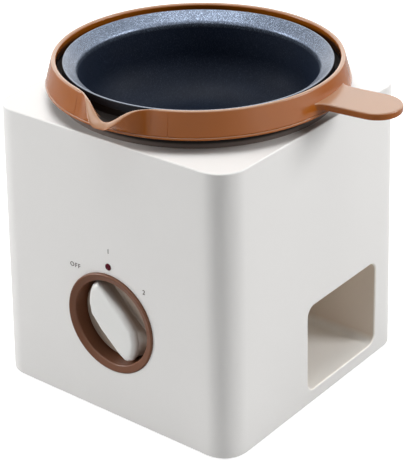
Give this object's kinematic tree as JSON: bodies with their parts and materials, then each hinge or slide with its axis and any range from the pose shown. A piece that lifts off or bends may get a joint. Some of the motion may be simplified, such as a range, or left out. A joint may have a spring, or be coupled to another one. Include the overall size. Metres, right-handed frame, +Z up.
{
  "type": "chocolate melting pot",
  "caption": "Square electric melter with a lift-out bowl that hangs in a spouted, handled collar, a rotary heat knob and a side storage pocket.",
  "frame": {"origin": "middle of the square footprint, level with the soles of the feet", "axes": "+Z up; -Y towards the control panel; +X to the right, the storage pocket's side"},
  "size_m": [0.1903, 0.165, 0.1773],
  "materials": {
    "housing_white": "white plastic, polished top and satin sides",
    "caramel_plastic": "caramel brown, glossy",
    "bezel_brown": "brown, satin gloss",
    "neck_brown": "dark brown, satin",
    "pot_coating": "dark blue-black non-stick coating with fine sparkle",
    "knob_white": "white, satin gloss",
    "liner_beige": "beige, matt",
    "dark_plastic": "black, matt",
    "base_grey": "light grey, matt",
    "foot_rubber": "soft black",
    "silicone": "red-brown silicone",
    "sheet_steel": "bare sheet steel",
    "cast_aluminium": "cast, lightly turned",
    "zinc_steel": "zinc plated",
    "red_lens": "dark red, clear",
    "lamp_glass": "clear",
    "lead_sleeve": "glass-braid and silicone sleeve",
    "terminal_white": "natural white nylon"
  },
  "bodies": {
    "base": {"housing": "housing_white", "base_plate": "base_grey", "rubber_feet": "foot_rubber", "base_screws": "zinc_steel", "seat_ring": "neck_brown", "well_gasket": "silicone", "heating_well": "sheet_steel", "well_screws": "zinc_steel", "heating_plate": "cast_aluminium", "heating_element": "sheet_steel", "heat_shield": "sheet_steel", "shield_spacers": "zinc_steel", "shield_screws": "zinc_steel", "thermostat": "dark_plastic", "thermostat_screws": "zinc_steel", "thermal_fuse": "sheet_steel", "fuse_clip": "sheet_steel", "fuse_clip_screw": "zinc_steel", "storage_pocket": "liner_beige", "pocket_screws": "zinc_steel", "knob_bezel": "bezel_brown", "bezel_ring_nut": "dark_plastic", "rotary_switch": "dark_plastic", "switch_nut": "zinc_steel", "indicator_lens": "red_lens", "indicator_lamp": "lamp_glass", "lamp_holder": "dark_plastic", "terminal_block": "terminal_white", "terminal_screws": "zinc_steel", "cord_gland": "dark_plastic", "gland_nut": "dark_plastic", "live_lead": "lead_sleeve", "switched_lead": "lead_sleeve", "heater_lead": "lead_sleeve", "fuse_lead": "lead_sleeve", "neutral_lead": "lead_sleeve", "lamp_live_lead": "lead_sleeve", "lamp_neutral_lead": "lead_sleeve"},
    "knob": {"knob": "knob_white", "switch_shaft": "zinc_steel"},
    "collar": {"collar": "caramel_plastic"},
    "pot": {"pot": "pot_coating"}
  },
  "joints": [
    {"name": "knob_turn", "type": "hinge", "parent": "base", "child": "knob", "pos_m": [0.0015, -0.07, 0.056], "axis": [0, 1, 0], "range_deg": [0, 82]},
    {"name": "collar_lift", "type": "slide", "parent": "base", "child": "collar", "axis": [0, 0, 1], "range_m": [0, 0.06]},
    {"name": "pot_lift", "type": "slide", "parent": "collar", "child": "pot", "axis": [0, 0, 1], "range_m": [0, 0.06]}
  ]
}
